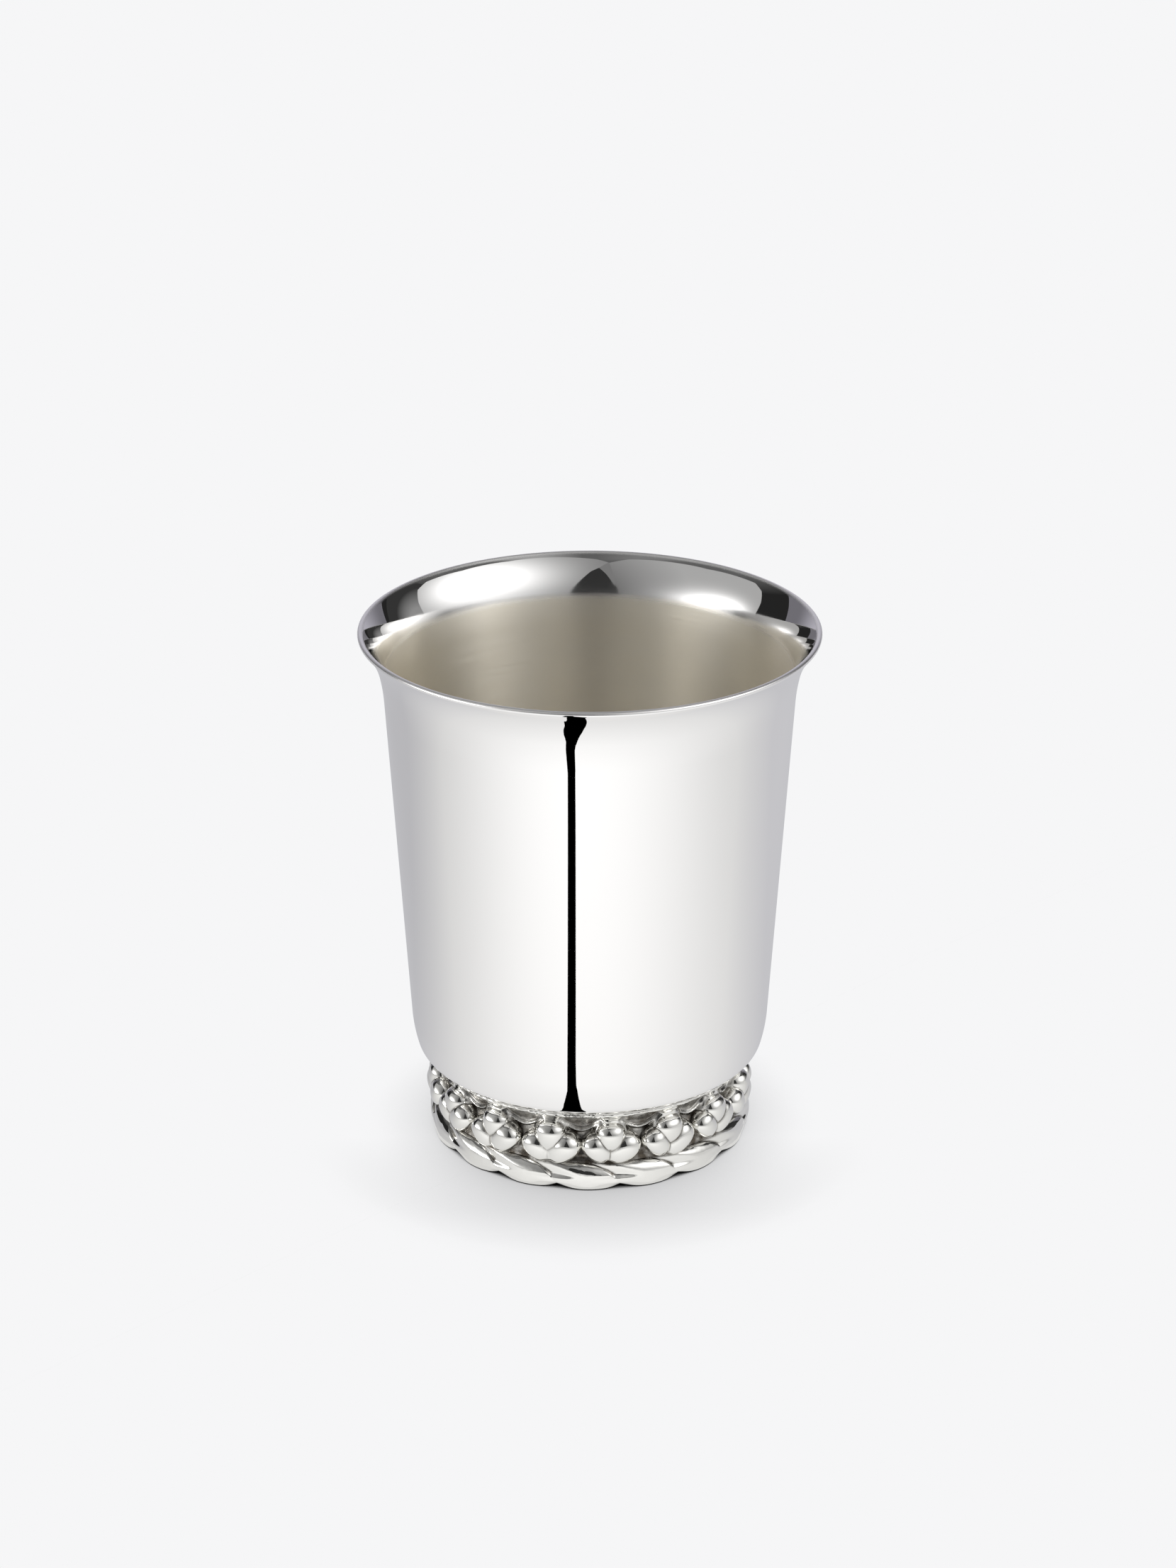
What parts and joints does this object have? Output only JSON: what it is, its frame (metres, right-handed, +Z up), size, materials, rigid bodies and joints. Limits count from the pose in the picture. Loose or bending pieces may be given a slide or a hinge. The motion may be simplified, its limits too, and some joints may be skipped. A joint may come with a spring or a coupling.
{
  "type": "tumbler",
  "caption": "Small polished silver drinking tumbler with a flared lip, standing on a cast foot ring of buds and overlapping leaves.",
  "frame": {"origin": "on the surface the cup stands on, at the cup's axis", "axes": "+Z up along the cup's axis, -Y towards the pictured front; the foot repeats every sixteenth of a turn"},
  "size_m": [0.0724, 0.0724, 0.0855],
  "materials": {
    "polished_silver": "spun silver sheet, buffed to a mirror outside and on the lip, soft satin with fine scratches inside",
    "cast_silver": "cast silver, high points polished by handling, tarnish left in the grooves"
  },
  "bodies": {
    "root": {"bowl": "polished_silver", "foot_collar": "cast_silver", "leaf_garland": "cast_silver", "bud_cluster_01": "cast_silver", "bud_cluster_02": "cast_silver", "bud_cluster_03": "cast_silver", "bud_cluster_04": "cast_silver", "bud_cluster_05": "cast_silver", "bud_cluster_06": "cast_silver", "bud_cluster_07": "cast_silver", "bud_cluster_08": "cast_silver", "bud_cluster_09": "cast_silver", "bud_cluster_10": "cast_silver", "bud_cluster_11": "cast_silver", "bud_cluster_12": "cast_silver", "bud_cluster_13": "cast_silver", "bud_cluster_14": "cast_silver", "bud_cluster_15": "cast_silver", "bud_cluster_16": "cast_silver"}
  },
  "joints": []
}
